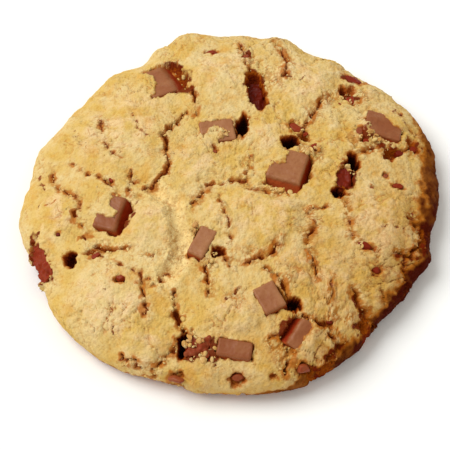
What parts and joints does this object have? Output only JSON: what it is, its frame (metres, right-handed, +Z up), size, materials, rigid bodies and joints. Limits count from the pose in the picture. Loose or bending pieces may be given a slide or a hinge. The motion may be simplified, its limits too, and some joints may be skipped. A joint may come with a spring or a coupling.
{
  "type": "chocolate chip cookie",
  "caption": "Thick round soft-baked cookie with a flat base, a cracked domed top and angular milk chocolate chunks set in it.",
  "frame": {"origin": "middle of the flat base, under the centre of the bounding box", "axes": "+Z up out of the base through the domed top; +X to the right and +Y away from the viewer as the picture shows it"},
  "size_m": [0.0921, 0.0903, 0.0159],
  "materials": {
    "dough": "baked golden crust, matte and slightly grainy",
    "chocolate": "milk chocolate, satin"
  },
  "bodies": {
    "root": {"cookie": "dough", "chunk_upper_left": "chocolate", "chunk_upper_middle": "chocolate", "chunk_centre_right": "chocolate", "chunk_left": "chocolate", "chunk_middle": "chocolate", "chunk_lower_middle": "chocolate", "chunk_lower_right": "chocolate", "chunk_bottom": "chocolate", "chunk_bottom_crumbled": "chocolate", "chunk_upper_right": "chocolate", "chunk_right": "chocolate", "chunk_top": "chocolate", "chunk_left_rim": "chocolate"}
  },
  "joints": []
}
